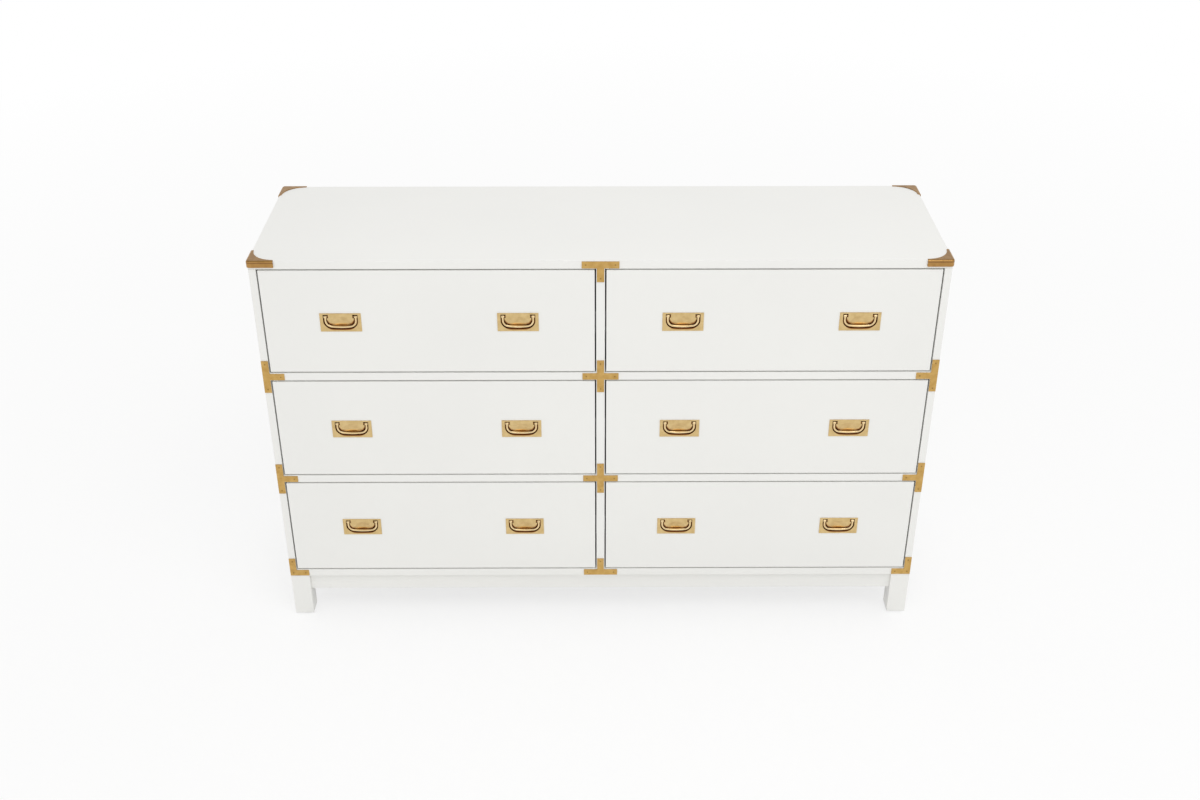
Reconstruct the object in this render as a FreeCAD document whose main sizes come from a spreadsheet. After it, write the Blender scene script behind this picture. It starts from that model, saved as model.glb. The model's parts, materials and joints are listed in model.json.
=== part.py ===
import FreeCAD, Part
import os
import re
import Sketcher

# A six-drawer campaign chest, in millimetres.
# The origin is on the floor below the middle of the case, the front faces -Y and +Z is up.

SIZES = {
    # case boards
    "case_width": 1422,
    "case_depth": 400,
    "case_height": 900,
    "top_thickness": 18,
    "side_thickness": 15,
    "divider_thickness": 18,
    "bottom_thickness": 18,
    "rail_thickness": 18,
    "rail_depth": 60,
    "back_thickness": 5,
    "back_lap": 8,
    "back_clearance": 0.3,
    # base
    "base_height": 111,
    "leg_width": 42,
    "apron_height": 42,
    "apron_thickness": 18,
    "apron_setback": 8,
    "glide_height": 3,
    "glide_radius": 12,
    "glide_taper": 2,
    # drawers
    "drawer_gap": 3,
    "front_thickness": 18,
    "board_thickness": 12,
    "box_rise": 16,
    "box_headroom": 33,
    "box_rear_space": 27,
    "tray_thickness": 5,
    "tray_rise": 10,
    "groove_depth": 6,
    "groove_clearance": 0.2,
    # drawer slides
    "slide_space": 12.7,
    "slide_height": 45,
    "slide_metal": 1.2,
    "slide_clearance": 0.35,
    "slide_side_gap": 1,
    "slide_setback": 2,
    # recessed pulls
    "pull_offset": 182.5,
    "bail_spread": 62.6,
    "bail_drop": 23.7,
    "bail_bow": 3.5,
    "bail_corner": 13.5,
    "rod_diameter": 5,
    "rod_inset": 0.2,
    "eye_radius": 3,
    "eye_width": 6,
    "pin_radius": 1.5,
    "pin_clearance": 0.05,
    "pin_length": 6,
    "pin_end_gap": 0.5,
    "channel_gap": 2,
    "channel_back_gap": 2.5,
    "pocket_rise": 5.4,
    "island_gap": 1.2,
    "island_corner": 16,
    "notch_width": 2.5,
    "notch_drop": 2.2,
    "dish_reach": 24.5,
    "dish_depth": 6,
    "plate_proud": 1.2,
    "plate_side_rim": 6.7,
    "plate_top_rim": 3.1,
    "plate_bottom_rim": 4.6,
    "tub_wall": 1.5,
    "tub_floor": 2,
    "mortise_clearance": 0.3,
    # brass brackets and corner caps
    "brass_thickness": 1.5,
    "strap_width": 15,
    "bracket_reach": 38,
    "corner_length": 43,
    "corner_rise": 47,
    "cap_arm": 52,
    "cap_tip": 4,
    "cap_drop": 13.5,
    "cap_proud": 3,
    "cap_corner": 7,
    "cap_roll": 3.5,
    # length by which every cutter passes the face that it opens
    "overrun": 1,
}

LAYOUT = {
    # case
    "half_depth": "case_depth / 2",
    "case_floor": "base_height + bottom_thickness",
    "case_ceiling": "case_height - top_thickness",
    "inner_depth": "case_depth - back_thickness",
    "back_width": "case_width - 2 * (side_thickness - back_lap)",
    "opening_width": "(case_width - 2 * side_thickness - divider_thickness) / 2",
    "opening_height": "(case_ceiling - case_floor - 2 * rail_thickness) / 3",
    "opening_pitch": "opening_height + rail_thickness",
    "column_centre": "(divider_thickness + opening_width) / 2",
    "leg_centre_x": "(case_width - leg_width) / 2",
    "leg_centre_y": "(case_depth - leg_width) / 2",
    # drawers
    "face_width": "opening_width - 2 * drawer_gap",
    "face_height": "opening_height - 2 * drawer_gap",
    "box_width": "opening_width - 2 * slide_space",
    "box_inner_width": "box_width - 2 * board_thickness",
    "box_height": "opening_height - box_rise - box_headroom",
    "box_depth": "case_depth - back_thickness - front_thickness - box_rear_space",
    "box_inner_depth": "box_depth - 2 * board_thickness",
    "groove_width": "tray_thickness + 2 * groove_clearance",
    "tray_lap": "groove_depth - groove_clearance",
    "slide_centre": "box_rise + box_height / 2",
    "slide_flange": "slide_space - slide_metal - slide_side_gap",
    "slide_inner_height": "slide_height - 2 * (slide_metal + slide_clearance)",
    # bail: two straight legs, two corner arcs and one bowed bar, all tangent
    "rod_radius": "rod_diameter / 2",
    "bail_half": "bail_spread / 2",
    "bow_radius": "(bail_half ^ 2 + bail_bow ^ 2) / (2 * bail_bow)",
    "bow_centre": "bow_radius - bail_drop",
    "bail_centre_x": "bail_half - bail_corner",
    "bail_arm": "bow_radius - bail_corner",
    "bail_fall": "sqrt(bail_arm ^ 2 - bail_centre_x ^ 2)",
    "bail_centre_z": "bow_centre - bail_fall",
    "bail_x_share": "bail_centre_x / bail_arm",
    "bail_z_share": "bail_fall / bail_arm",
    # pull plate: a channel round the bail, an island inside it and a dish for the fingers
    "channel_half": "rod_radius + channel_gap",
    "channel_depth": "rod_inset + rod_diameter + channel_back_gap",
    "channel_outer_half": "bail_half + channel_half",
    "channel_outer_bow": "bow_radius + channel_half",
    "island_half": "bail_half - rod_radius - island_gap",
    "island_bow": "bow_radius - rod_radius - island_gap",
    "island_centre_x": "island_half - island_corner",
    "island_arm": "island_bow - island_corner",
    "island_fall": "sqrt(island_arm ^ 2 - island_centre_x ^ 2)",
    "island_centre_z": "bow_centre - island_fall",
    "island_x_share": "island_centre_x / island_arm",
    "island_z_share": "island_fall / island_arm",
    "dish_radius": "(dish_reach ^ 2 + dish_depth ^ 2) / (2 * dish_depth)",
    "recess_height": "pocket_rise + bail_drop + channel_half",
    "plate_width": "2 * (channel_outer_half + plate_side_rim)",
    "plate_height": "recess_height + plate_top_rim + plate_bottom_rim",
    "pivot_rise": "plate_height / 2 - plate_top_rim - pocket_rise",
    "pivot_depth": "rod_inset + rod_radius - plate_proud",
    "tub_width": "2 * (channel_outer_half + tub_wall)",
    "tub_height": "recess_height + 2 * tub_wall",
    "tub_centre": "pivot_rise + pocket_rise - recess_height / 2",
    "tub_depth": "channel_depth - plate_proud + tub_floor",
    "bore_depth": "pin_length + pin_end_gap",
}

ROWS = ("lower", "middle", "upper")
SIDES = {"left": -1, "right": 1}
ENDS = {"front": -1, "rear": 1}

doc = FreeCAD.newDocument("campaign_chest")
nodes = []


# Sheets and bound values

def fill_sheet(name, cells):
    """Make a sheet with one named cell for each entry."""
    made = doc.addObject("Spreadsheet::Sheet", name)
    for row, (alias, content) in enumerate(cells.items(), start=1):
        made.set(f"A{row}", alias)
        made.set(f"B{row}", content)
        made.setAlias(f"B{row}", alias)
    return made


def linked(text):
    """Write each size named in a formula as a reference to its sheet."""
    def refer(found):
        word = found.group(0)
        if word in SIZES:
            return f"sizes.{word}"
        if word in LAYOUT:
            return f"layout.{word}"
        return word
    return re.sub(r"[a-z]\w*", refer, text)


def value(text):
    """The present value of a formula."""
    return float(layout.evalExpression(linked(text)))


def bind(item, **formulas):
    """Tie properties of an object to formulas."""
    for name, text in formulas.items():
        item.setExpression(name, linked(text))


def move(item, x="0", y="0", z="0"):
    """Tie the place of an object to formulas."""
    for axis, text in zip("xyz", (x, y, z)):
        item.setExpression(f"Placement.Base.{axis}", linked(text))
    return item


def turn(item, axis, angle):
    """Turn an object about an axis through its own origin."""
    item.Placement.Rotation = FreeCAD.Rotation(FreeCAD.Vector(*axis), angle)
    return item


# Solids

def board(name, size, place):
    """A rectangular board, from its size and its lowest corner."""
    made = doc.addObject("Part::Box", name)
    bind(made, Length=size[0], Width=size[1], Height=size[2])
    return move(made, *place)


def rod(name, radius, length, place, axis=(0, 0, 1), angle=0):
    """A round bar that starts at a place and runs along the turned Z axis."""
    made = doc.addObject("Part::Cylinder", name)
    bind(made, Radius=radius, Height=length)
    turn(made, axis, angle)
    return move(made, *place)


def cut(name, base, tools):
    """A solid less its cutters."""
    made = doc.addObject("Part::Cut", name)
    made.Base = base
    made.Tool = tools[0] if len(tools) == 1 else group(f"{name}_cutters", tools)
    return made


def fuse(name, pieces):
    """One solid from pieces that meet."""
    made = doc.addObject("Part::MultiFuse", name)
    made.Shapes = pieces
    made.Refine = True
    return made


def group(name, pieces):
    """Separate solids kept together."""
    made = doc.addObject("Part::Compound", name)
    made.Links = pieces
    return made


def copy_of(name, master, place):
    """The same piece at another place."""
    return move(group(name, [master]), *place)


def node(item, label):
    """Name a finished sub-part and list it for export."""
    item.Label = label
    nodes.append(item)
    return item


# Sketches

def new_body(name):
    """An empty body."""
    return doc.addObject("PartDesign::Body", name)


def new_sketch(body, plane, lift="0"):
    """A sketch on one of the body's own planes, lifted along the plane's normal."""
    made = body.newObject("Sketcher::SketchObject", f"{body.Name}_sketch")
    support = [origin for origin in body.Origin.OriginFeatures if origin.Role == plane]
    made.AttachmentSupport = [(support[0], "")]
    made.MapMode = "FlatFace"
    made.setExpression("AttachmentOffset.Base.z", linked(lift))
    return made


def fix(sketch, kind, item, end, text):
    """Tie a point's distance from the sketch's origin to a formula."""
    index = sketch.addConstraint(Sketcher.Constraint(kind, -1, 1, item, end, value(text)))
    sketch.setExpression(f"Constraints[{index}]", linked(text))


def fix_point(sketch, item, end, x, y):
    """Tie a point of a sketch to formulas."""
    fix(sketch, "DistanceX", item, end, x)
    fix(sketch, "DistanceY", item, end, y)


def draw(sketch, corners, arcs=None, closed=True):
    """Draw lines between corners. An arc runs to the next corner about its own centre.

    arcs gives, by the corner where the arc starts, its centre, its radius and whether it turns left.
    """
    arcs = arcs or {}
    spots = [FreeCAD.Vector(value(x), value(y), 0) for x, y in corners]
    count = len(spots) if closed else len(spots) - 1
    starts = []
    ends = []
    for index in range(count):
        near = spots[index]
        far = spots[(index + 1) % len(spots)]
        left_turn = True
        if index in arcs:
            x, y, radius, left_turn = arcs[index]
            centre = FreeCAD.Vector(value(x), value(y), 0)
            circle = Part.Circle(centre, FreeCAD.Vector(0, 0, 1), value(radius))
            first, last = (near, far) if left_turn else (far, near)
            line = Part.ArcOfCircle(circle, circle.parameter(first), circle.parameter(last))
        else:
            line = Part.LineSegment(near, far)
        sketch.addGeometry(line, False)
        starts.append(1 if left_turn else 2)
        ends.append(2 if left_turn else 1)
    for index in range(count if closed else count - 1):
        after = (index + 1) % count
        sketch.addConstraint(Sketcher.Constraint("Coincident", index, ends[index], after, starts[after]))
    for index in range(count):
        fix_point(sketch, index, starts[index], *corners[index])
    if not closed:
        fix_point(sketch, count - 1, ends[-1], *corners[-1])
    for index, arc in arcs.items():
        fix(sketch, "DistanceY", index, 3, arc[1])


def pad(body, sketch, length, reverse=False):
    """Thicken a sketch along its normal, or against it."""
    made = body.newObject("PartDesign::Pad", f"{body.Name}_pad")
    made.Profile = sketch
    made.Reversed = reverse
    bind(made, Length=length)
    return made


def pocket(body, sketch, length):
    """Cut a sketch into the body against the sketch's normal."""
    made = body.newObject("PartDesign::Pocket", f"{body.Name}_pocket")
    made.Profile = sketch
    bind(made, Length=length)
    return made


def extrusion(name, plane, corners, length, reverse=False):
    """A body of one straight profile."""
    body = new_body(name)
    sketch = new_sketch(body, plane)
    draw(sketch, corners)
    pad(body, sketch, length, reverse)
    return body


def rectangle(width, height, centre="0"):
    """The corners of a rectangle about a point on the vertical axis."""
    low = f"({centre}) - ({height}) / 2"
    high = f"({centre}) + ({height}) / 2"
    side = f"({width}) / 2"
    return [(f"-{side}", low), (side, low), (side, high), (f"-{side}", high)]


# Case

def make_case():
    """Top, sides, divider, bottom, back and the rails between the drawers."""
    slab_size = ("case_width", "case_depth", "top_thickness")
    slab = board("top_slab", slab_size, ("-case_width / 2", "-half_depth", "case_ceiling"))
    rebate_size = ("back_width", "back_thickness + overrun", "back_lap + overrun")
    rebate_place = ("-back_width / 2", "half_depth - back_thickness", "case_ceiling - overrun")
    rebate = board("top_rebate", rebate_size, rebate_place)
    node(cut("top_panel", slab, [rebate]), "top_panel")

    for side, sign in SIDES.items():
        outer = "0"
        inner = f"{-sign} * side_thickness"
        lap = f"{-sign} * (side_thickness - back_lap)"
        shoulder = "half_depth - back_thickness"
        corners = [(outer, "-half_depth"), (inner, "-half_depth"), (inner, shoulder),
                   (lap, shoulder), (lap, "half_depth"), (outer, "half_depth")]
        panel = extrusion(f"{side}_side_panel", "XY_Plane", corners, "case_ceiling - base_height")
        node(move(panel, f"{sign} * case_width / 2", "0", "base_height"), f"{side}_side_panel")

    divider_size = ("divider_thickness", "inner_depth", "case_ceiling - case_floor")
    divider_place = ("-divider_thickness / 2", "-half_depth", "case_floor")
    node(board("centre_divider", divider_size, divider_place), "centre_divider")

    bottom_size = ("case_width - 2 * side_thickness", "inner_depth", "bottom_thickness")
    bottom_place = ("side_thickness - case_width / 2", "-half_depth", "base_height")
    node(board("bottom_panel", bottom_size, bottom_place), "bottom_panel")

    back_size = ("back_width - 2 * back_clearance", "back_thickness",
                 "case_ceiling + back_lap - base_height - back_clearance")
    back_place = ("back_clearance - back_width / 2", "half_depth - back_thickness", "base_height")
    node(board("back_panel", back_size, back_place), "back_panel")

    rails = []
    rail_size = ("opening_width", "rail_depth", "rail_thickness")
    for side, sign in SIDES.items():
        for row in range(1, len(ROWS)):
            left = f"{sign} * column_centre - opening_width / 2"
            bottom = f"case_floor + {row} * opening_pitch - rail_thickness"
            rails.append(board(f"{side}_rail_{row}", rail_size, (left, "-half_depth", bottom)))
    node(group("drawer_rails", rails), "drawer_rails")


def make_base():
    """Four legs on glides, with an apron between each pair of legs."""
    legs = []
    glides = []
    leg_size = ("leg_width", "leg_width", "base_height - glide_height")
    for side, x_sign in SIDES.items():
        for end, y_sign in ENDS.items():
            centre_x = f"{x_sign} * leg_centre_x"
            centre_y = f"{y_sign} * leg_centre_y"
            corner = (f"{centre_x} - leg_width / 2", f"{centre_y} - leg_width / 2", "glide_height")
            legs.append(board(f"{end}_{side}_leg", leg_size, corner))
            glide = doc.addObject("Part::Cone", f"{end}_{side}_glide")
            bind(glide, Radius1="glide_radius - glide_taper", Radius2="glide_radius", Height="glide_height")
            glides.append(move(glide, centre_x, centre_y))
    node(group("legs", legs), "legs")
    node(group("foot_glides", glides), "foot_glides")

    long_size = ("case_width - 2 * leg_width", "apron_thickness", "apron_height")
    apron_bottom = "base_height - apron_height"
    for end, sign in ENDS.items():
        front = f"{sign} * (half_depth - apron_setback - apron_thickness / 2) - apron_thickness / 2"
        place = ("leg_width - case_width / 2", front, apron_bottom)
        node(board(f"{end}_apron", long_size, place), f"{end}_apron")
    short_size = ("apron_thickness", "case_depth - 2 * leg_width", "apron_height")
    shorts = []
    for side, sign in SIDES.items():
        left = f"{sign} * (case_width / 2 - apron_setback - apron_thickness / 2) - apron_thickness / 2"
        shorts.append(board(f"{side}_apron", short_size, (left, "leg_width - half_depth", apron_bottom)))
    node(group("side_aprons", shorts), "side_aprons")


# Brass

def cross_corners(arms):
    """The outline of flat straps that meet at a point, with the arms named in order."""
    half = "strap_width / 2"
    reach = "bracket_reach"
    tips = {
        "right": [(reach, f"-{half}"), (reach, half)],
        "up": [(half, reach), (f"-{half}", reach)],
        "left": [(f"-{reach}", half), (f"-{reach}", f"-{half}")],
        "down": [(f"-{half}", f"-{reach}"), (half, f"-{reach}")],
    }
    insides = {"right": (half, half), "up": (f"-{half}", half),
               "left": (f"-{half}", f"-{half}"), "down": (half, f"-{half}")}
    order = ("right", "up", "left", "down")
    corners = []
    for index, arm in enumerate(order):
        following = order[(index + 1) % len(order)]
        if arm in arms:
            corners += tips[arm]
        if arm in arms and following in arms:
            corners.append(insides[arm])
    return corners


def make_brackets():
    """Flat brass tees, crosses and corner pieces on the front edges of the case."""
    rail_heights = [f"case_floor + {row} * opening_pitch - rail_thickness / 2" for row in range(1, len(ROWS))]
    top_height = "case_height - top_thickness / 2"
    bottom_height = "base_height + bottom_thickness / 2"
    edge = "(case_width - strap_width) / 2"

    def strap(name, arms, x, z):
        made = extrusion(name, "XZ_Plane", cross_corners(arms), "brass_thickness")
        return move(made, x, "-half_depth", z)

    top_tee = strap("top_tee", ("left", "right", "down"), "0", top_height)
    bottom_tee = strap("bottom_tee", ("left", "right", "up"), "0", bottom_height)
    node(group("centre_tee_brackets", [top_tee, bottom_tee]), "centre_tee_brackets")

    all_arms = ("left", "right", "up", "down")
    crosses = [strap(f"cross_{row}", all_arms, "0", height) for row, height in enumerate(rail_heights)]
    node(group("cross_brackets", crosses), "cross_brackets")

    tees = []
    corners = []
    for side, sign in SIDES.items():
        inward = "right" if sign < 0 else "left"
        for row, height in enumerate(rail_heights):
            arms = ("up", "down", inward)
            tees.append(strap(f"{side}_tee_{row}", arms, f"{sign} * {edge}", height))
        outline = [("0", "0"), (f"{-sign} * corner_length", "0"), (f"{-sign} * corner_length", "strap_width"),
                   (f"{-sign} * strap_width", "strap_width"), (f"{-sign} * strap_width", "corner_rise"),
                   ("0", "corner_rise")]
        angle = extrusion(f"{side}_corner", "XZ_Plane", outline, "brass_thickness")
        foot = f"{bottom_height} - strap_width / 2"
        corners.append(move(angle, f"{sign} * case_width / 2", "-half_depth", foot))
    node(group("side_tee_brackets", tees), "side_tee_brackets")
    node(group("bottom_corner_brackets", corners), "bottom_corner_brackets")


def make_caps():
    """Brass caps over the four corners of the top, each with a scooped plate, two flanges and a rolled edge."""
    body = new_body("corner_cap")
    bend = "cap_corner - cap_proud"
    rim = [("cap_arm", "-cap_proud"), (bend, "-cap_proud"), ("-cap_proud", bend), ("-cap_proud", "cap_arm")]
    rounded = (bend, bend, "cap_corner", False)
    scoop = ("cap_arm", "cap_arm", "cap_arm - cap_tip", True)
    plate = new_sketch(body, "XY_Plane")
    draw(plate, rim + [("cap_tip", "cap_arm"), ("cap_arm", "cap_tip")], {1: rounded, 4: scoop})
    pad(body, plate, "brass_thickness")
    flange = new_sketch(body, "XY_Plane")
    draw(flange, rim + [("0", "cap_arm"), ("0", "0"), ("cap_arm", "0")], {1: rounded})
    sleeve = pad(body, flange, "cap_drop", reverse=True)
    doc.recompute()

    def on_upper_rim(edge):
        return all(end.Z > 0 and min(end.X, end.Y) < 0 for end in edge.Vertexes)

    rims = [f"Edge{number}" for number, edge in enumerate(sleeve.Shape.Edges, start=1) if on_upper_rim(edge)]
    roll = body.newObject("PartDesign::Fillet", "corner_cap_roll")
    roll.Base = (sleeve, rims)
    bind(roll, Radius="cap_roll")
    corners = [(-1, -1), (1, -1), (1, 1), (-1, 1)]
    caps = []
    for quarter, (x_sign, y_sign) in enumerate(corners):
        place = (f"{x_sign} * case_width / 2", f"{y_sign} * half_depth", "case_height")
        cap = copy_of(f"corner_cap_{quarter}", body, place)
        caps.append(turn(cap, (0, 0, 1), 90 * quarter))
    node(group("top_corner_caps", caps), "top_corner_caps")


# Drawers, about the middle of the opening's front edge with the opening's floor at zero

def make_slide_member(name, sign, outer):
    """One channel of a slide, on the left or right side of a drawer box."""
    height = "slide_height" if outer else "slide_inner_height"
    wall = "0" if outer else "slide_space"
    web = "slide_metal" if outer else "slide_space - slide_metal"
    tip = "slide_flange" if outer else "slide_space - slide_flange"
    across = [f"{-sign} * ({x})" for x in (wall, web, tip)]
    top = f"{height} / 2"
    under = f"{height} / 2 - slide_metal"
    corners = [(across[0], f"-{top}"), (across[2], f"-{top}"), (across[2], f"-({under})"),
               (across[1], f"-({under})"), (across[1], under), (across[2], under),
               (across[2], top), (across[0], top)]
    setback = "slide_setback" if outer else "0"
    member = extrusion(name, "XZ_Plane", corners, f"box_depth - {setback}", reverse=True)
    return move(member, f"{sign} * opening_width / 2", f"front_thickness + {setback}", "slide_centre")


def make_slides(name, outer):
    """The pair of channels at a drawer, on the case or on the drawer."""
    return group(name, [make_slide_member(f"{name}_{side}", sign, outer) for side, sign in SIDES.items()])


def make_front():
    """The drawer face with a mortise behind each pull."""
    size = ("face_width", "front_thickness", "face_height")
    face = board("face", size, ("-face_width / 2", "0", "drawer_gap"))
    mortise_size = ("tub_width + 2 * mortise_clearance", "tub_depth + mortise_clearance + overrun",
                    "tub_height + 2 * mortise_clearance")
    bottom = "opening_height / 2 + tub_centre - tub_height / 2 - mortise_clearance"
    mortises = []
    for side, sign in SIDES.items():
        left = f"{sign} * pull_offset - tub_width / 2 - mortise_clearance"
        mortises.append(board(f"{side}_mortise", mortise_size, (left, "-overrun", bottom)))
    return cut("drawer_front", face, mortises)


def grooved_section(sign):
    """The section of a box board with the groove for the drawer bottom on its inner side."""
    inner = f"{sign} * board_thickness"
    root = f"{sign} * (board_thickness - groove_depth)"
    lip = "tray_rise + groove_width"
    return [("0", "0"), (inner, "0"), (inner, "tray_rise"), (root, "tray_rise"),
            (root, lip), (inner, lip), (inner, "box_height"), ("0", "box_height")]


def make_box():
    """The two sides, the inner front and the back of a drawer box."""
    boards = []
    for side, sign in SIDES.items():
        made = extrusion(f"box_{side}", "XZ_Plane", grooved_section(-sign), "box_depth", reverse=True)
        boards.append(move(made, f"{sign} * box_width / 2", "front_thickness", "box_rise"))
    for end, sign in ENDS.items():
        made = extrusion(f"box_{end}", "YZ_Plane", grooved_section(-sign), "box_inner_width")
        depth = "front_thickness" if sign < 0 else "front_thickness + box_depth"
        boards.append(move(made, "-box_inner_width / 2", depth, "box_rise"))
    return group("drawer_box", boards)


def make_tray():
    """The thin bottom that lies in the grooves of the box."""
    size = ("box_inner_width + 2 * tray_lap", "box_inner_depth + 2 * tray_lap", "tray_thickness")
    place = ("-box_inner_width / 2 - tray_lap", "front_thickness + board_thickness - tray_lap",
             "box_rise + tray_rise + groove_clearance")
    return board("drawer_bottom", size, place)


# Recessed pulls, about the middle of the plate on the drawer's face

def bail_corners(line, half, corner, bow, top="0"):
    """Where the legs, corner arcs and bowed bar of a line along the bail meet, and its arcs.

    line is the first word of the layout cells that hold the corner's centre and where it meets the bar.
    """
    centre_x = f"{line}_centre_x"
    centre_z = f"{line}_centre_z"
    meet_x = f"{line}_x_share * {bow}"
    meet_z = f"bow_centre - {line}_z_share * {bow}"
    corners = [(f"-{half}", top), (f"-{half}", centre_z), (f"-{meet_x}", meet_z),
               (meet_x, meet_z), (half, centre_z), (half, top)]
    arcs = {1: (f"-{centre_x}", centre_z, corner, True),
            2: ("0", "bow_centre", bow, True),
            3: (centre_x, centre_z, corner, True)}
    return corners, arcs


def make_plate():
    """A plate with a tub behind it, channelled for the bail, dished for the fingers and bored for the pins.

    The island is notched beside each eye, where its pin goes in.
    """
    body = new_body("pull_body")
    plate = new_sketch(body, "XZ_Plane")
    draw(plate, rectangle("plate_width", "plate_height"))
    pad(body, plate, "plate_proud")
    tub = new_sketch(body, "XZ_Plane")
    draw(tub, rectangle("tub_width", "tub_height", "tub_centre"))
    pad(body, tub, "tub_depth", reverse=True)

    outer, arcs = bail_corners("bail", "channel_outer_half", "bail_corner + channel_half", "channel_outer_bow",
                               "pocket_rise")
    inner, inner_arcs = bail_corners("island", "island_half", "island_corner", "island_bow", "pocket_rise")
    for start, (x, z, radius, turns_left) in inner_arcs.items():
        arcs[len(outer) + len(inner) - 2 - start] = (x, z, radius, not turns_left)
    raised = [(x, f"pivot_rise + {z}") for x, z in outer + inner[::-1]]
    raised_arcs = {start: (x, f"pivot_rise + {z}", radius, left) for start, (x, z, radius, left) in arcs.items()}
    channel = new_sketch(body, "XZ_Plane", "plate_proud")
    draw(channel, raised, raised_arcs)
    pocket(body, channel, "channel_depth")

    # half a ball above the bar's middle line
    dish = doc.addObject("Part::Sphere", "dish")
    bind(dish, Radius="dish_radius", Angle1="0")
    move(dish, "0", "dish_depth - dish_radius - plate_proud", "pivot_rise - bail_drop")
    cutters = [dish]
    notch_size = ("notch_width + overrun", "channel_depth + overrun", "notch_drop + pocket_rise")
    for side, sign in SIDES.items():
        start = f"{sign} * (island_half - bore_depth)"
        bore = rod(f"{side}_bore", "pin_radius + pin_clearance", "bore_depth + overrun",
                   (start, "pivot_depth", "pivot_rise"), (0, 1, 0), 90 * sign)
        middle = f"{sign} * (island_half + (overrun - notch_width) / 2)"
        notch_place = (f"{middle} - (notch_width + overrun) / 2", "-plate_proud - overrun",
                       "pivot_rise - notch_drop")
        cutters += [bore, board(f"{side}_notch", notch_size, notch_place)]
    return cut("pull_plate", body, cutters)


def make_bail():
    """A round bail with an eye and an inward pin at each end, about the pivot line."""
    body = new_body("bail_rod")
    path = new_sketch(body, "XZ_Plane")
    corners, arcs = bail_corners("bail", "bail_half", "bail_corner", "bow_radius")
    draw(path, corners, arcs, closed=False)
    section = new_sketch(body, "XY_Plane")
    circle = Part.Circle(FreeCAD.Vector(value("-bail_half"), 0, 0), FreeCAD.Vector(0, 0, 1), value("rod_radius"))
    section.addGeometry(circle, False)
    fix_point(section, 0, 3, "-bail_half", "0")
    rule = section.addConstraint(Sketcher.Constraint("Radius", 0, value("rod_radius")))
    section.setExpression(f"Constraints[{rule}]", linked("rod_radius"))
    pipe = body.newObject("PartDesign::AdditivePipe", "bail_pipe")
    pipe.Profile = section
    pipe.Spine = path
    pieces = [body]
    for side, sign in SIDES.items():
        eye_start = (f"{sign} * (bail_half + eye_width / 2)", "0", "0")
        pieces.append(rod(f"{side}_eye", "eye_radius", "eye_width", eye_start, (0, 1, 0), -90 * sign))
        pin_start = (f"{sign} * bail_half", "0", "0")
        reach = "rod_radius + island_gap + pin_length"
        pieces.append(rod(f"{side}_pin", "pin_radius", reach, pin_start, (0, 1, 0), -90 * sign))
    return fuse("bail", pieces)


def make_drawers():
    """Six like drawers, each with its slides, two pull plates and two bails."""
    front = make_front()
    box = make_box()
    tray = make_tray()
    inner_slides = make_slides("inner_slides", outer=False)
    outer_slides = make_slides("outer_slides", outer=True)
    plate = make_plate()
    bail = make_bail()
    plates = [copy_of(f"{side}_plate", plate, (f"{sign} * pull_offset", "0", "opening_height / 2"))
              for side, sign in SIDES.items()]
    pair = group("plate_pair", plates)
    masters = {"front": front, "box": box, "bottom": tray, "slides": inner_slides, "pull_plates": pair}
    case_members = []
    for row, level in enumerate(ROWS):
        for column, column_sign in SIDES.items():
            name = f"{level}_{column}_drawer"
            centre = f"{column_sign} * column_centre"
            floor = f"case_floor + {row} * opening_pitch"
            place = (centre, "-half_depth", floor)
            for piece, master in masters.items():
                node(copy_of(f"{name}_{piece}", master, place), f"{name}_{piece}")
            for side, sign in SIDES.items():
                pivot = (f"{centre} + {sign} * pull_offset", "pivot_depth - half_depth",
                         f"{floor} + opening_height / 2 + pivot_rise")
                node(copy_of(f"{name}_{side}_bail", bail, pivot), f"{name}_{side}_bail")
            case_members.append(copy_of(f"{name}_case_members", outer_slides, place))
    node(group("case_slides", case_members), "case_slides")


def check_and_write():
    """Stop at any failed object or bad shape, then write one file for each sub-part."""
    for item in doc.Objects:
        if {"Invalid", "Error"} & set(item.State):
            raise RuntimeError(f"{item.Label} failed: {item.State}")
    for item in nodes:
        shape = item.Shape
        if shape.isNull() or not shape.isValid() or not shape.Solids:
            raise RuntimeError(f"{item.Label} has no valid solid")
    os.makedirs("parts", exist_ok=True)
    for item in nodes:
        item.Shape.exportStep(f"parts/{item.Label}.step")
    print(f"{len(nodes)} sub-parts, {sum(len(item.Shape.Solids) for item in nodes)} solids")


sizes = fill_sheet("sizes", {name: str(size) for name, size in SIZES.items()})
doc.recompute()
layout = fill_sheet("layout", {name: f"={linked(formula)}" for name, formula in LAYOUT.items()})
doc.recompute()
make_case()
make_base()
make_brackets()
make_caps()
make_drawers()
doc.recompute()
check_and_write()
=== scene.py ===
"""Looks, light and camera for a white six-drawer chest with brass straps and recessed pulls."""
import json
import math

import bmesh
import bpy
from mathutils import Matrix, Vector

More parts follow.
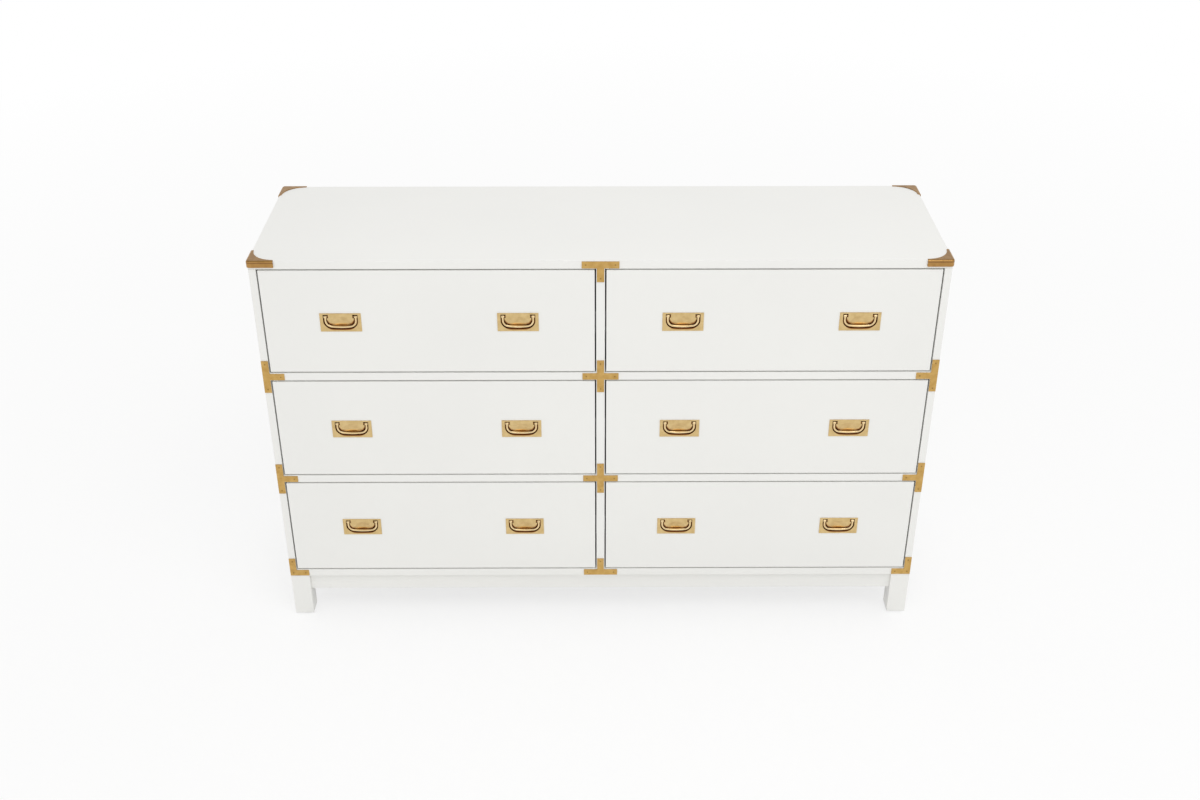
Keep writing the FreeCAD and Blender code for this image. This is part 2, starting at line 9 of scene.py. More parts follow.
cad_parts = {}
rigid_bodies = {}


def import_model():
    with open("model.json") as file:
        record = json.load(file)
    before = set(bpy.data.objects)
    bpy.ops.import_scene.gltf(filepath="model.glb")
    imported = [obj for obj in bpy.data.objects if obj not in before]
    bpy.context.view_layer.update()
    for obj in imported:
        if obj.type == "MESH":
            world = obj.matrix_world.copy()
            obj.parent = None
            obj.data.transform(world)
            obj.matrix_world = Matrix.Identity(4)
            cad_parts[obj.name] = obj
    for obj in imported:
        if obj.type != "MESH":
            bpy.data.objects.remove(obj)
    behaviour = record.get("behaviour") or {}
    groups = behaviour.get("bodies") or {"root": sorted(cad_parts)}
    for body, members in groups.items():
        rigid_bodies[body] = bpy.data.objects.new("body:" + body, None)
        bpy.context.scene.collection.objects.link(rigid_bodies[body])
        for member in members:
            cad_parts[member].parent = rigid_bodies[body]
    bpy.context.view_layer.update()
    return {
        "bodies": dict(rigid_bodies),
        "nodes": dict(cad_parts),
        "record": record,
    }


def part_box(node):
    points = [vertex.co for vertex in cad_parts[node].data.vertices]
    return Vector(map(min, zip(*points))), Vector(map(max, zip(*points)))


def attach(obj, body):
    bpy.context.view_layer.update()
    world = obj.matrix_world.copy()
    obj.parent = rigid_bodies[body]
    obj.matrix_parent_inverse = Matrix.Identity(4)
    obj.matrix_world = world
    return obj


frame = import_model()
nodes = frame["nodes"]
slots = {row["node"]: row["material_slot"] for row in frame["record"]["subparts"]}
scene = bpy.context.scene

# Camera, fitted to the photograph
CAMERA_PLACE = (-0.0125, -2.808, 2.094)
CAMERA_PITCH_DEGREES = 31.21
CAMERA_YAW_DEGREES = 0.25
CAMERA_LENS_MM = 42.51
CAMERA_SENSOR_MM = 36.0
CAMERA_SHIFT_SHARE = 0.0208
RIGHT_ANGLE_DEGREES = 90.0
MATRIX_SIZE = 4

# Light
WHITE = (1.0, 1.0, 1.0, 1.0)
WORLD_STRENGTH = 0.855
KEY_LAMP = {"place": (0.9, -2.0, 3.7), "size": (2.6, 1.8), "power": 31.0}
FILL_LAMP = {"place": (-2.2, -3.0, 1.9), "size": (2.0, 2.0), "power": 2.0}
AIM = (0.0, 0.0, 0.5)
SWEEP_TOP = 0.2
CEILING_START = 0.55
CEILING_TONE = 0.5
FLOOR_HALF = 60.0
FLOOR_COLOUR = (0.93, 0.93, 0.925)
FLOOR_GLOW_SHARE = 0.7
SHADOW_REACH = 1.2
SWEEP_REACH = 4.5

# Softened edges
WELD_GAP = 0.000002
PAINT_EDGE = 0.0008
BRASS_EDGE = 0.0003
CAP_EDGE = 0.0009
WOOD_EDGE = 0.0006
STEEL_EDGE = 0.0003
BOARDS_IN_TOUCH = 0.0
EDGE_ANGLE_DEGREES = 35.0
EDGE_SEGMENTS = 3

# Straps and screws
STRAP_WIDTH = 0.015
STRAP_REACH = 0.038
CORNER_LENGTH = 0.043
SCREW_INSET = 0.008
STRAP_SCREW = {"radius": 0.0017, "rise": 0.00035, "recess": 0.0008}
DRAWER_SCREW = {"radius": 0.0042, "rise": 0.0018, "recess": 0.0015}
DRAWER_SCREW_OFFSET = 0.215
DRAWER_SCREW_INSET = 0.045
BOX_BOARD = 0.012
QUARTERS = 4
QUARTER_STEPS = 6
SCREW_TURN_DEGREES = 37.0
DISC_SHARE = 0.3
CHAMFER_SHARE = 0.88
SHOULDER_SHARE = 0.7

# Nails in the back: each ring of a head has its shares of the rise and of the radius
NAIL_RADIUS = 0.0028
NAIL_RISE = 0.0008
NAIL_RING_SHARES = ((0.0, 1.0), (0.45, 0.93), (0.8, 0.7), (1.0, 0.35))
NAIL_INSET = 0.004
NAIL_FLOOR_INSET = 0.009
NAIL_SIDES = 12
NAILS_ACROSS = 10
NAILS_UP = 6

# Shader nodes: the sockets of a colour mix, and the detail and usual range of a noise
MIX_FACTOR, MIX_FIRST, MIX_SECOND, MIX_RESULT = 0, 6, 7, 2
NOISE_DETAIL = 3.0
NOISE_LOW = 0.3
NOISE_HIGH = 0.7
MIDDLE_SHARE = 0.5


def add(tree, kind, inputs=None, **settings):
    """A new shader node with its settings, and its inputs set to values or linked to sockets."""
    made = tree.nodes.new(kind)
    for name, value in settings.items():
        setattr(made, name, value)
    for name, value in (inputs or {}).items():
        if isinstance(value, bpy.types.NodeSocket):
            tree.links.new(value, made.inputs[name])
        else:
            made.inputs[name].default_value = value
    return made


def new_material(name, **values):
    """A material with its principled shader, whose even values are set on its own sockets."""
    material = bpy.data.materials.new(name)
    material.use_nodes = True
    tree = material.node_tree
    shader = tree.nodes["Principled BSDF"]
    for socket, value in values.items():
        shader.inputs[socket.replace("_", " ")].default_value = value
    place = add(tree, "ShaderNodeTexCoord").outputs["Object"]
    return material, tree, shader, place


def noise(tree, place, scale=1.0, detail=NOISE_DETAIL, stretch=(1.0, 1.0, 1.0)):
    """A noise factor, with the lengths along each axis multiplied by stretch before it is read."""
    mapped = add(tree, "ShaderNodeMapping", {"Vector": place, "Scale": stretch})
    inputs = {"Vector": mapped.outputs["Vector"], "Scale": scale, "Detail": detail}
    return add(tree, "ShaderNodeTexNoise", inputs).outputs["Fac"]


def spread(tree, factor, low, high, start=NOISE_LOW, end=NOISE_HIGH):
    """A number between low and high that follows a factor from start to end."""
    inputs = {"Value": factor, "From Min": start, "From Max": end, "To Min": low, "To Max": high}
    return add(tree, "ShaderNodeMapRange", inputs).outputs["Result"]


def mixed(tree, factor, first, second):
    """A colour between two colours, each given as a value or a socket."""
    made = add(tree, "ShaderNodeMix", {MIX_FACTOR: factor}, data_type="RGBA")
    for index, colour in ((MIX_FIRST, first), (MIX_SECOND, second)):
        if isinstance(colour, bpy.types.NodeSocket):
            tree.links.new(colour, made.inputs[index])
        else:
            made.inputs[index].default_value = (*colour, 1.0)
    return made.outputs[MIX_RESULT]


def combined(tree, first, second, operation="ADD"):
    """The sum of two factors, or another operation on them."""
    made = add(tree, "ShaderNodeMath", {0: first, 1: second}, operation=operation)
    return made.outputs["Value"]


def weighted(tree, first, second, share):
    """A share of one factor with the rest of another."""
    rest = combined(tree, second, 1.0 - share, "MULTIPLY")
    return combined(tree, combined(tree, first, share, "MULTIPLY"), rest)


def unsigned(tree, value):
    """A number without its sign."""
    return combined(tree, value, 0.0, "ABSOLUTE")


def part(tree, vector, axis):
    """One part of a vector."""
    return add(tree, "ShaderNodeSeparateXYZ", {"Vector": vector}).outputs[axis]


def place_along(tree, axis):
    """How far along an axis a point of the piece lies at rest."""
    return part(tree, add(tree, "ShaderNodeTexCoord").outputs["Object"], axis)


def facing(tree, axis):
    """How far a face of the piece, as it lies at rest, looks along an axis."""
    return part(tree, add(tree, "ShaderNodeTexCoord").outputs["Normal"], axis)


def off_middle(tree, axis):
    """How far a point lies from the middle of its piece's box along an axis, as a share of the box."""
    spot = add(tree, "ShaderNodeTexCoord").outputs["Generated"]
    return combined(tree, part(tree, spot, axis), MIDDLE_SHARE, "SUBTRACT")


def surface(tree, shader, colour, roughness, height, relief):
    """Gives a shader its colour, its roughness and a relief raised by a height factor."""
    inputs = {"Height": height, "Strength": relief["strength"], "Distance": relief["depth"]}
    normal = add(tree, "ShaderNodeBump", inputs).outputs["Normal"]
    for name, socket in (("Base Color", colour), ("Roughness", roughness), ("Normal", normal)):
        tree.links.new(socket, shader.inputs[name])


# Satin lacquer
LACQUER_IOR = 1.47
LACQUER_CLOUD = {"scale": 2.6, "detail": 4.0}
LACQUER_PEEL = {"scale": 620.0, "detail": 2.0}
LACQUER_RIPPLE = {"scale": 95.0, "detail": 2.0}
LACQUER_RIPPLE_WEIGHT = 2.0
LACQUER_ROUGHNESS = (0.34, 0.44)
LACQUER_RELIEF = {"strength": 0.12, "depth": 0.00006}


def paint_material(name, pale, dim):
    """Sprayed satin lacquer: a faint cloud of tone, orange peel and uneven gloss."""
    material, tree, shader, place = new_material(name, IOR=LACQUER_IOR)
    cloud = noise(tree, place, **LACQUER_CLOUD)
    peel = noise(tree, place, **LACQUER_PEEL)
    ripple = noise(tree, place, **LACQUER_RIPPLE)
    colour = mixed(tree, spread(tree, cloud, 0.0, 1.0), pale, dim)
    roughness = spread(tree, ripple, *LACQUER_ROUGHNESS)
    height = combined(tree, peel, combined(tree, ripple, LACQUER_RIPPLE_WEIGHT, "MULTIPLY"))
    surface(tree, shader, colour, roughness, height, LACQUER_RELIEF)
    return material


# Tones of aged brass, and of the shade, dark reflection and highlight painted onto it
TARNISH_AND_PAINTED_SHADE = (0.34, 0.13, 0.028)
TARNISH_ROUGHNESS = 0.2
FOLD_REFLECTION_TONE = (0.20, 0.085, 0.02)
PAINTED_HIGHLIGHT = (0.95, 0.60, 0.21)

# Patina and painted shade of the pull plates: depths behind their face, and distances from curves along
# the bail's bar
PLATES_LOW, PLATES_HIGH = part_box("upper_left_drawer_pull_plates")
PULL_WIDTH = 0.085
RECESS_WALL = (0.0008, 0.0020)
RECESS_FLOOR = (0.0062, 0.0070)
RECESS_WALL_TURN = (0.35, 0.75)
BAR_CURVE_POWER = 5.0
ISLAND_EDGE = {"foot": -0.0070, "half": 0.0268, "rise": 0.010}
ISLAND_BELOW = -0.006
ISLAND_SHADE = (0.0006, 0.0045)
DISH_SIDE = (0.008, 0.019)
LIP_EDGE = {"foot": -0.0161, "half": 0.0358, "rise": 0.020}
LIP_SHADE = (-0.0022, -0.0004)
LIP_ABOVE = 0.002


def on_plate(tree):
    """How far a point of a pull plate lies from the middle of its plate, to either side and upwards."""
    wide = PLATES_HIGH.x - PLATES_LOW.x
    tall = PLATES_HIGH.z - PLATES_LOW.z
    outward_share = unsigned(tree, off_middle(tree, "X"))
    pull_middle = (wide - PULL_WIDTH) / 2
    across = combined(tree, combined(tree, outward_share, wide, "MULTIPLY"), pull_middle, "SUBTRACT")
    upward = combined(tree, off_middle(tree, "Z"), tall, "MULTIPLY")
    return unsigned(tree, across), upward


def above_bar_curve(tree, across, upward, foot, half, rise):
    """How far a point lies above a curve along the bar of the bail, and one where the curve runs."""
    bend = combined(tree, combined(tree, across, half, "DIVIDE"), BAR_CURVE_POWER, "POWER")
    edge = combined(tree, combined(tree, bend, rise, "MULTIPLY"), foot)
    return combined(tree, upward, edge, "SUBTRACT"), combined(tree, across, half, "LESS_THAN")


def island_foot(tree):
    """One on the plate just above the bar of the bail, where shade is painted, and a share that grows
    towards the sides.
    """
    across, upward = on_plate(tree)
    above, along = above_bar_curve(tree, across, upward, **ISLAND_EDGE)
    near = spread(tree, above, 1.0, 0.0, *ISLAND_SHADE)
    inside = combined(tree, above, ISLAND_BELOW, "GREATER_THAN")
    outer = spread(tree, across, 0.0, 1.0, *DISH_SIDE)
    return combined(tree, near, combined(tree, inside, along, "MULTIPLY"), "MULTIPLY"), outer


def painted_shade_below_bar(tree):
    """One on the plate just below the bar of the bail, where the bar's shadow is painted."""
    above, along = above_bar_curve(tree, *on_plate(tree), **LIP_EDGE)
    near = spread(tree, above, 0.0, 1.0, *LIP_SHADE)
    inside = combined(tree, above, LIP_ABOVE, "LESS_THAN")
    return combined(tree, near, combined(tree, inside, along, "MULTIPLY"), "MULTIPLY")


def recess_patina_and_painted_shade(tree):
    """One on the walls and the floor of the channel in a pull plate, and close to the bar of the bail:
    patina with painted shade.
    """
    depth = combined(tree, place_along(tree, "Y"), PLATES_LOW.y, "SUBTRACT")
    wall = spread(tree, depth, 0.0, 1.0, *RECESS_WALL)
    aside = spread(tree, unsigned(tree, facing(tree, "Y")), 1.0, 0.0, *RECESS_WALL_TURN)
    floor = spread(tree, depth, 0.0, 1.0, *RECESS_FLOOR)
    channel = combined(tree, floor, combined(tree, wall, aside, "MULTIPLY"), "MAXIMUM")
    island = combined(tree, *island_foot(tree), "MULTIPLY")
    close = combined(tree, painted_shade_below_bar(tree), island, "MAXIMUM")
    return combined(tree, channel, close, "MAXIMUM")


def painted_dish_highlight(tree):
    """One at the foot of the finger dish of a pull plate, lighter in its middle, where a highlight is
    painted.
    """
    near, outer = island_foot(tree)
    return combined(tree, near, combined(tree, 1.0, outer, "SUBTRACT"), "MULTIPLY")


# Painted dark reflection on the corner caps: distances from the line where they are folded down
CAP_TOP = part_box("top_corner_caps")[1].z
FOLD_DROP = 0.0046
FOLD_REACH = (0.0002, 0.0012)


def painted_fold_reflection(tree):
    """One along the line where a corner cap is folded down over the edge of the top, where a dark
    reflection is painted.
    """
    away = combined(tree, place_along(tree, "Z"), CAP_TOP - FOLD_DROP, "SUBTRACT")
    return spread(tree, unsigned(tree, away), 1.0, 0.0, *FOLD_REACH)


# Patina and painted shade of the bails: how far their faces turn, and shares of their box
UNDERSIDE_TURN = (-0.98, -0.7)
BACK_TURN = (0.1, 0.7)
PIN_ASIDE_SHARE = 0.41
PIN_ABOVE_SHARE = 0.3


def unrubbed_and_shaded(tree):
    """One on the underside, the back and the pins of a bail: patina where no hand rubs it, and painted
    shade where it faces down or into the plate.
    """
    under = spread(tree, facing(tree, "Z"), 1.0, 0.0, *UNDERSIDE_TURN)
    back = spread(tree, facing(tree, "Y"), 0.0, 1.0, *BACK_TURN)
    inner = combined(tree, unsigned(tree, off_middle(tree, "X")), PIN_ASIDE_SHARE, "LESS_THAN")
    high = combined(tree, off_middle(tree, "Z"), PIN_ABOVE_SHARE, "GREATER_THAN")
    pins = combined(tree, inner, high, "MULTIPLY")
    return combined(tree, combined(tree, under, back, "MAXIMUM"), pins, "MAXIMUM")


# Lacquered brass
BRASS_COAT_ROUGHNESS = 0.2
BRASS_PATCHES = {"scale": 85.0, "detail": 4.0}
BRASS_GRAIN = {"scale": 900.0, "detail": 2.0}
BRASS_PATCH_SHARE = 0.75
BRASS_TONES = (0.36, 0.64)
BRASS_GLOSSIER = 0.05
BRASS_DULLER = 0.07
BRASS_GRAIN_WEIGHT = 0.4
BRASS_RELIEF = {"strength": 0.25, "depth": 0.00005}


def brass_material(name, bright, worn, brushed, roughness, coat,
                   darkened=None, shade=TARNISH_AND_PAINTED_SHADE, highlighted=None):
    """Lacquered brass: brushed lines, uneven gloss and a patchy tone, with patina, painted shade, a
    painted dark reflection and a painted highlight where a piece asks for them.
    """
    material, tree, shader, place = new_material(
        name, Metallic=1.0, Coat_Weight=coat, Coat_Roughness=BRASS_COAT_ROUGHNESS)
    lines = noise(tree, place, stretch=brushed)
    patches = noise(tree, place, **BRASS_PATCHES)
    grain = noise(tree, place, **BRASS_GRAIN)
    tone = weighted(tree, patches, lines, BRASS_PATCH_SHARE)
    colour = mixed(tree, spread(tree, tone, 0.0, 1.0, *BRASS_TONES), bright, worn)
    gloss = spread(tree, tone, roughness - BRASS_GLOSSIER, roughness + BRASS_DULLER)
    if darkened:
        # Darkens the brass where a mask asks: patina and painted shade on plates and bails, a painted
        # dark reflection on the caps.
        dark = darkened(tree)
        colour = mixed(tree, dark, colour, shade)
        gloss = combined(tree, gloss, combined(tree, dark, TARNISH_ROUGHNESS, "MULTIPLY"))
    # Lightens the brass where a mask asks: a painted highlight.
    if highlighted:
        colour = mixed(tree, highlighted(tree), colour, PAINTED_HIGHLIGHT)
    height = combined(tree, lines, combined(tree, grain, BRASS_GRAIN_WEIGHT, "MULTIPLY"))
    surface(tree, shader, colour, gloss, height, BRASS_RELIEF)
    return material


# Sealed birch
WOOD_SIDEWAYS_SHARE = 0.5
WOOD_FIGURE = {"along": 2.2, "across": 26.0, "detail": 5.0}
WOOD_FIBRE = {"along": 9.0, "across": 420.0, "detail": 3.0}
WOOD_FIGURE_SHARE = 0.7
WOOD_TONES = (0.36, 0.66)
WOOD_ROUGHNESS = (0.42, 0.58)
WOOD_RELIEF = {"strength": 0.2, "depth": 0.00008}


def wood_grain(tree, place, aside, along, across, detail):
    """A noise drawn out along the X axis or, where aside is one, along the Y axis."""
    one = noise(tree, place, detail=detail, stretch=(along, across, across))
    two = noise(tree, place, detail=detail, stretch=(across, along, across))
    return add(tree, "ShaderNodeMix", {"Factor": aside, "A": one, "B": two}).outputs["Result"]


def wood_material(name, pale, dark):
    """Sealed birch, whose grain runs across the drawer or, on faces that look sideways, along it."""
    material, tree, shader, place = new_material(name)
    aside = combined(tree, unsigned(tree, facing(tree, "X")), WOOD_SIDEWAYS_SHARE, "GREATER_THAN")
    figure = wood_grain(tree, place, aside, **WOOD_FIGURE)
    fibre = wood_grain(tree, place, aside, **WOOD_FIBRE)
    tone = weighted(tree, figure, fibre, WOOD_FIGURE_SHARE)
    colour = mixed(tree, spread(tree, tone, 0.0, 1.0, *WOOD_TONES), pale, dark)
    surface(tree, shader, colour, spread(tree, fibre, *WOOD_ROUGHNESS), fibre, WOOD_RELIEF)
    return material


# Primed fibreboard
BOARD_FELT = {"scale": 260.0, "detail": 4.0}
BOARD_CLOUD = {"scale": 7.0, "detail": 3.0}
BOARD_FELT_SHARE = 0.5
BOARD_ROUGHNESS = (0.6, 0.75)
BOARD_RELIEF = {"strength": 0.25, "depth": 0.0001}


def board_material(name, pale, dim):
    """Primed fibreboard: matt, with a fine felted face."""
    material, tree, shader, place = new_material(name)
    felt = noise(tree, place, **BOARD_FELT)
    cloud = noise(tree, place, **BOARD_CLOUD)
    tone = weighted(tree, felt, cloud, BOARD_FELT_SHARE)
    colour = mixed(tree, spread(tree, tone, 0.0, 1.0), pale, dim)
    surface(tree, shader, colour, spread(tree, felt, *BOARD_ROUGHNESS), felt, BOARD_RELIEF)
    return material


# Zinc-plated steel
STEEL_SPANGLE_SCALE = 210.0
STEEL_DRAWN = (700.0, 8.0, 700.0)
STEEL_SPANGLE_SHARE = 0.5
STEEL_TONES = (0.25, 0.65)
STEEL_ROUGHNESS = (0.28, 0.42)
STEEL_RELIEF = {"strength": 0.2, "depth": 0.00004}


def steel_material(name, pale, dim):
    """Zinc-plated steel strip: spangled, drawn along its length."""
    material, tree, shader, place = new_material(name, Metallic=1.0)
    inputs = {"Vector": place, "Scale": STEEL_SPANGLE_SCALE}
    spangle = add(tree, "ShaderNodeTexVoronoi", inputs).outputs["Distance"]
    drawn = noise(tree, place, stretch=STEEL_DRAWN)
    tone = weighted(tree, spangle, drawn, STEEL_SPANGLE_SHARE)
    colour = mixed(tree, spread(tree, tone, 0.0, 1.0, *STEEL_TONES), pale, dim)
    surface(tree, shader, colour, spread(tree, drawn, *STEEL_ROUGHNESS), drawn, STEEL_RELIEF)
    return material


# Moulded plastic
PLASTIC_GRAIN = {"scale": 1100.0, "detail": 2.0}
PLASTIC_CLOUD = {"scale": 60.0, "detail": 3.0}
PLASTIC_ROUGHNESS = (0.45, 0.6)
PLASTIC_RELIEF = {"strength": 0.3, "depth": 0.00006}


def plastic_material(name, pale, dim):
    """Moulded plastic with a fine spark-eroded grain."""
    material, tree, shader, place = new_material(name)
    grain = noise(tree, place, **PLASTIC_GRAIN)
    cloud = noise(tree, place, **PLASTIC_CLOUD)
    colour = mixed(tree, spread(tree, cloud, 0.0, 1.0), pale, dim)
    surface(tree, shader, colour, spread(tree, grain, *PLASTIC_ROUGHNESS), grain, PLASTIC_RELIEF)
    return material


# The materials, by what they are used for
paint = paint_material("satin_white", pale=(0.865, 0.862, 0.832), dim=(0.845, 0.842, 0.815))
strap_brass = brass_material(
    "strap_brass", bright=(0.645, 0.415, 0.135), worn=(0.54, 0.325, 0.09),
    brushed=(60.0, 900.0, 900.0), roughness=0.42, coat=0.25)
# Corner caps, with a painted dark reflection along the fold.
cap_brass = brass_material(
    "cap_brass", bright=(0.48, 0.26, 0.072), worn=(0.39, 0.20, 0.048),
    brushed=(60.0, 900.0, 900.0), roughness=0.34, coat=0.5, darkened=painted_fold_reflection, shade=FOLD_REFLECTION_TONE)
# Pull plates, with patina and painted shade in the channel and along the bar, and a painted highlight at
# the foot of the dish.
plate_brass = brass_material(
    "plate_brass", bright=(0.73, 0.54, 0.26), worn=(0.63, 0.45, 0.20),
    brushed=(30.0, 900.0, 900.0), roughness=0.34, coat=0.15, darkened=recess_patina_and_painted_shade, highlighted=painted_dish_highlight)
# Bails, with patina and painted shade underneath, at the back and on the pins.
bail_brass = brass_material(
    "bail_brass", bright=(0.90, 0.70, 0.40), worn=(0.80, 0.60, 0.31),
    brushed=(40.0, 500.0, 500.0), roughness=0.3, coat=0.15, darkened=unrubbed_and_shaded)
screw_brass = brass_material(
    "screw_brass", bright=(0.42, 0.245, 0.07), worn=(0.32, 0.18, 0.05),
    brushed=(300.0, 300.0, 300.0), roughness=0.4, coat=0.25)
birch = wood_material("sealed_birch", pale=(0.74, 0.59, 0.41), dark=(0.59, 0.44, 0.27))
board = board_material("primed_board", pale=(0.74, 0.72, 0.68), dim=(0.69, 0.67, 0.63))
zinc = steel_material("zinc_steel", pale=(0.62, 0.63, 0.65), dim=(0.48, 0.49, 0.51))
glide = plastic_material("glide_plastic", pale=(0.055, 0.052, 0.05), dim=(0.04, 0.038, 0.036))

SLOT_LOOKS = {
    "white_paint": (paint, PAINT_EDGE),
    "drawer_wood": (birch, WOOD_EDGE),
    "back_board": (board, WOOD_EDGE),
    "brass": (strap_brass, BRASS_EDGE),
    "slide_steel": (zinc, STEEL_EDGE),
    "glide_plastic": (glide, STEEL_EDGE),
}


def dress(piece, material, edge):
    """Gives a CAD piece its material and softens its sharp edges, unless the width for that is zero."""
    piece.data.materials.clear()
    piece.data.materials.append(material)
    if not edge:
        return
    weld = piece.modifiers.new("weld", "WELD")
    weld.merge_threshold = WELD_GAP
    bevel = piece.modifiers.new("soft_edge", "BEVEL")
    bevel.width = edge
    bevel.segments = EDGE_SEGMENTS
    bevel.limit_method = "ANGLE"
    bevel.angle_limit = math.radians(EDGE_ANGLE_DEGREES)


for name, piece in nodes.items():
    material, edge = SLOT_LOOKS[slots[name]]
    if name == "top_corner_caps":
        material, edge = cap_brass, CAP_EDGE
    if name.endswith("pull_plates"):
        material = plate_brass
    if name.endswith("bail"):
        material = bail_brass
    if name.endswith("box"):
        edge = BOARDS_IN_TOUCH
    dress(piece, material, edge)


def strap_screw_places():
    """Points on the front faces of the straps, near the ends of their arms."""
    half = STRAP_WIDTH / 2
    reach = STRAP_REACH - SCREW_INSET
    arms = {"left": (-reach, 0.0), "right": (reach, 0.0), "up": (0.0, reach), "down": (0.0, -reach)}
    low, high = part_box("cross_brackets")
    face = low.y
    rails = (low.z + STRAP_REACH, high.z - STRAP_REACH)
    places = []

    def straps(x, z, *names):
        """Adds a point on each named arm of the strap at a place."""
        places.extend((x + arms[arm][0], face, z + arms[arm][1]) for arm in names)

    for height in rails:
        straps(0.0, height, "left", "right", "up", "down")
    low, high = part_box("centre_tee_brackets")
    straps(0.0, high.z - half, "left", "right", "down")
    straps(0.0, low.z + half, "left", "right", "up")
    low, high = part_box("side_tee_brackets")
    for height in rails:
        straps(low.x + half, height, "up", "down", "right")
        straps(high.x - half, height, "up", "down", "left")
    low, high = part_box("bottom_corner_brackets")
    for x, inward in ((low.x, 1), (high.x, -1)):
        places.append((x + inward * half, face, high.z - SCREW_INSET))
        places.append((x + inward * half, face, low.z + half))
        places.append((x + inward * (CORNER_LENGTH - SCREW_INSET), face, low.z + half))
    return places


def drawer_screw_places(drawer):
    """Points on the inner front of a drawer box, where screws hold the drawer's face."""
    low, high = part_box(f"{drawer}_box")
    middle = (low.x + high.x) / 2
    return [(middle + side * DRAWER_SCREW_OFFSET, low.y + BOX_BOARD, height)
            for side in (-1, 1)
            for height in (low.z + DRAWER_SCREW_INSET, high.z - DRAWER_SCREW_INSET)]


def back_nail_places():
    """Points round the edge of the back panel and up its middle, over the boards that it is nailed to."""
    low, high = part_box("back_panel")
    left, right = low.x + NAIL_INSET, high.x - NAIL_INSET
    bottom, top = low.z + NAIL_FLOOR_INSET, high.z - NAIL_INSET
    places = []
    for step in range(NAILS_ACROSS + 1):
        across = left + (right - left) * step / NAILS_ACROSS
        places.extend((across, high.y, height) for height in (bottom, top))
    for step in range(1, NAILS_UP):
        height = bottom + (top - bottom) * step / NAILS_UP
        places.extend((across, high.y, height) for across in (left, (left + right) / 2, right))
    return places


def add_stack(mesh, frame_matrix, rings):
    """A closed solid from rings of points, lowest first, each placed by a matrix."""
    stack = [[mesh.verts.new(frame_matrix @ Vector(point)) for point in ring] for ring in rings]
    count = len(stack[0])
    for lower, upper in zip(stack, stack[1:]):
        for index in range(count):
            following = (index + 1) % count
            mesh.faces.new((lower[index], lower[following], upper[following], upper[index]))
    mesh.faces.new(stack[-1])
    mesh.faces.new(list(reversed(stack[0])))


def circle(radius, height, sides):
    """Points on a circle about the Z axis."""
    angles = [2 * math.pi * step / sides for step in range(sides)]
    return [(radius * math.cos(angle), radius * math.sin(angle), height) for angle in angles]


def spun(degrees, axis):
    """A turn about an axis."""
    return Matrix.Rotation(math.radians(degrees), MATRIX_SIZE, axis)


def outward(place, ahead):
    """A frame at a place whose Z axis looks along -Y, or along +Y where ahead is false."""
    tilt = RIGHT_ANGLE_DEGREES if ahead else -RIGHT_ANGLE_DEGREES
    return Matrix.Translation(place) @ spun(tilt, "X")


def add_screw(mesh, base, radius, rise, recess):
    """A screw head with a cross recess: four raised quarters on a disc."""
    sides = QUARTERS * QUARTER_STEPS
    add_stack(mesh, base, [circle(radius, 0.0, sides), circle(radius, rise * DISC_SHARE, sides)])
    across = recess / 2
    start = math.asin(across / radius)
    arc = math.pi / 2 - 2 * start
    angles = [start + arc * step / QUARTER_STEPS for step in range(QUARTER_STEPS + 1)]
    rings = []
    for height, share in ((0.0, 1.0), (rise * SHOULDER_SHARE, 1.0), (rise, CHAMFER_SHARE)):
        wide = radius * share
        rim = [(wide * math.cos(angle), wide * math.sin(angle), height) for angle in angles]
        rings.append([(across, across, height)] + rim)
    for quarter in range(QUARTERS):
        add_stack(mesh, base @ spun(RIGHT_ANGLE_DEGREES * quarter, "Z"), rings)


def add_nail(mesh, base):
    """A low domed nail head."""
    rings = [circle(NAIL_RADIUS * wide_share, NAIL_RISE * rise_share, NAIL_SIDES)
             for rise_share, wide_share in NAIL_RING_SHARES]
    add_stack(mesh, base, rings)


def new_object(name, data):
    """A new object in the scene."""
    made = bpy.data.objects.new(name, data)
    scene.collection.objects.link(made)
    return made


def mesh_object(name, mesh, material):
    """A new object from a mesh that is finished, with its material."""
    data = bpy.data.meshes.new(name)
    mesh.to_mesh(data)
    mesh.free()
    data.materials.append(material)
    return new_object(name, data)


def new_piece(name, mesh, material, body):
    """A piece made here, from its mesh, that rides on a body."""
    bmesh.ops.recalc_face_normals(mesh, faces=mesh.faces)
    piece = mesh_object(name, mesh, material)
    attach(piece, body)


def screw_piece(name, places, ahead, screw, material, body):
    """A set of screw heads, each turned its own way."""
    mesh = bmesh.new()
    for index, place in enumerate(places):
        add_screw(mesh, outward(place, ahead) @ spun(SCREW_TURN_DEGREES * index, "Z"), **screw)
    new_piece(name, mesh, material, body)


screw_piece("strap_screws", strap_screw_places(), True, STRAP_SCREW, screw_brass, "case")
for body in frame["bodies"]:
    if body.endswith("drawer"):
        places = drawer_screw_places(body)
        screw_piece(f"{body}_face_screws", places, False, DRAWER_SCREW, zinc, body)
nails = bmesh.new()
for place in back_nail_places():
    add_nail(nails, outward(place, False))
new_piece("back_nails", nails, zinc, "case")


def make_camera():
    """The camera, level from side to side, at the photograph's viewing angle."""
    data = bpy.data.cameras.new("camera")
    data.lens = CAMERA_LENS_MM
    data.sensor_width = CAMERA_SENSOR_MM
    data.shift_y = CAMERA_SHIFT_SHARE
    camera = new_object("camera", data)
    camera.location = CAMERA_PLACE
    tilt = math.radians(RIGHT_ANGLE_DEGREES - CAMERA_PITCH_DEGREES)
    camera.rotation_euler = (tilt, 0.0, -math.radians(CAMERA_YAW_DEGREES))
    scene.camera = camera


def make_lamp(name, place, size, power):
    """A soft rectangular lamp that looks at the object."""
    data = bpy.data.lights.new(name, "AREA")
    data.shape = "RECTANGLE"
    data.size, data.size_y = size
    data.energy = power
    lamp = new_object(name, data)
    lamp.location = place
    aim = Vector(AIM) - Vector(place)
    lamp.rotation_euler = aim.to_track_quat("-Z", "Y").to_euler()


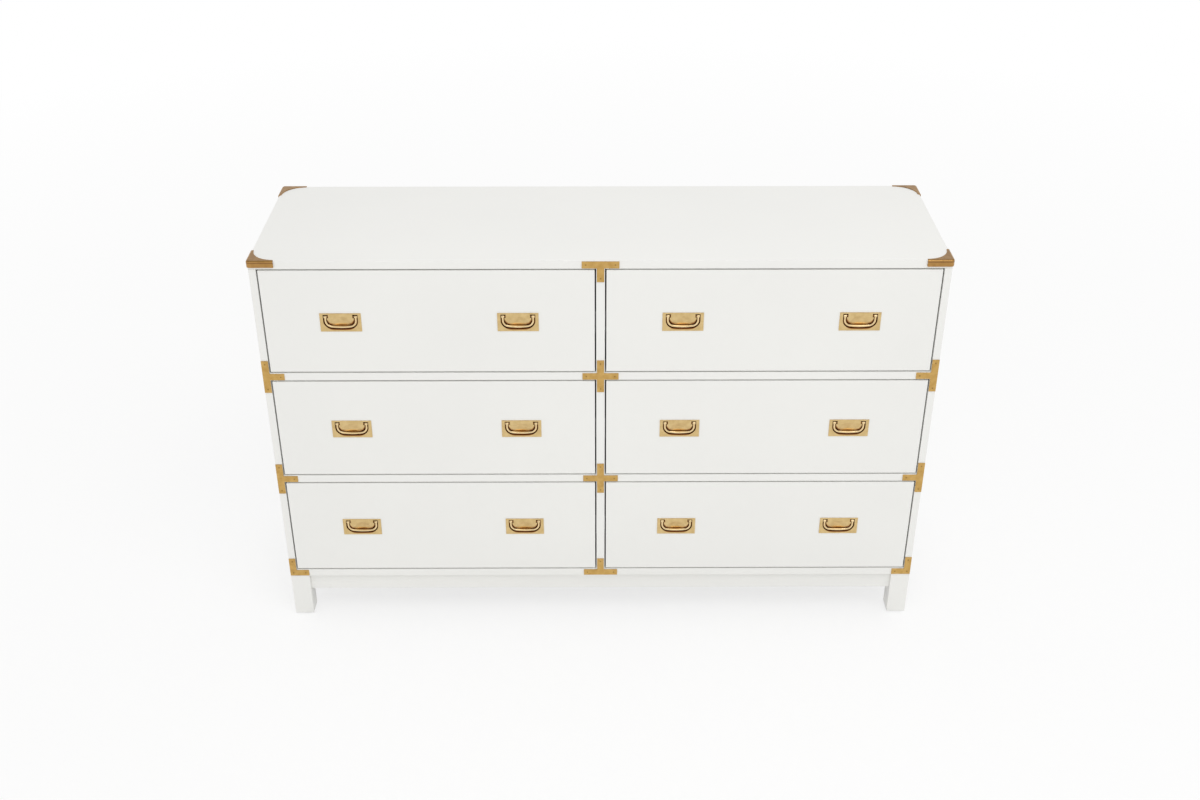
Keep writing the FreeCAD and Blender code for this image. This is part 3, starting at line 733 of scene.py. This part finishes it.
def seen_directly(tree):
    """One for rays from the camera and rays mirrored or passed on by a surface."""
    path = add(tree, "ShaderNodeLightPath").outputs
    mirrored = combined(tree, path["Is Glossy Ray"], path["Is Transmission Ray"], "MAXIMUM")
    return combined(tree, path["Is Camera Ray"], mirrored, "MAXIMUM")


def show_blend(tree, share, first, second, output_kind):
    """Shows a blend of two shaders on a world or a material."""
    mix = add(tree, "ShaderNodeMixShader", {0: share, 1: first.outputs[0], 2: second.outputs[0]})
    add(tree, output_kind, {"Surface": mix.outputs[0]})


def make_world():
    """Even light for matt surfaces. The eye and mirrored rays see a white sweep that dims overhead."""
    world = bpy.data.worlds.new("studio")
    scene.world = world
    world.use_nodes = True
    tree = world.node_tree
    tree.nodes.clear()
    light = add(tree, "ShaderNodeBackground", {"Color": WHITE, "Strength": WORLD_STRENGTH})
    height = part(tree, add(tree, "ShaderNodeTexCoord").outputs["Generated"], "Z")
    tone = spread(tree, height, 1.0, CEILING_TONE, SWEEP_TOP, CEILING_START)
    sweep = add(tree, "ShaderNodeBackground", {"Color": WHITE, "Strength": tone})
    show_blend(tree, seen_directly(tree), light, sweep, "ShaderNodeOutputWorld")


def make_floor():
    """A pale floor that keeps the shadow near the object and goes over into the white sweep."""
    material = bpy.data.materials.new("pale_floor")
    material.use_nodes = True
    tree = material.node_tree
    tree.nodes.clear()
    matt = add(tree, "ShaderNodeBsdfDiffuse", {"Color": (*FLOOR_COLOUR, 1.0)})
    glow = add(tree, "ShaderNodeEmission", {"Color": WHITE, "Strength": 1.0})
    place = add(tree, "ShaderNodeTexCoord").outputs["Object"]
    reach = add(tree, "ShaderNodeVectorMath", {"Vector": place}, operation="LENGTH").outputs["Value"]
    white = spread(tree, reach, FLOOR_GLOW_SHARE, 1.0, SHADOW_REACH, SWEEP_REACH)
    share = combined(tree, seen_directly(tree), white, "MULTIPLY")
    show_blend(tree, share, matt, glow, "ShaderNodeOutputMaterial")
    mesh = bmesh.new()
    bmesh.ops.create_grid(mesh, x_segments=1, y_segments=1, size=FLOOR_HALF)
    mesh_object("floor", mesh, material)


make_camera()
make_lamp("key", **KEY_LAMP)
make_lamp("fill", **FILL_LAMP)
make_world()
make_floor()
scene.view_settings.view_transform = "Standard"
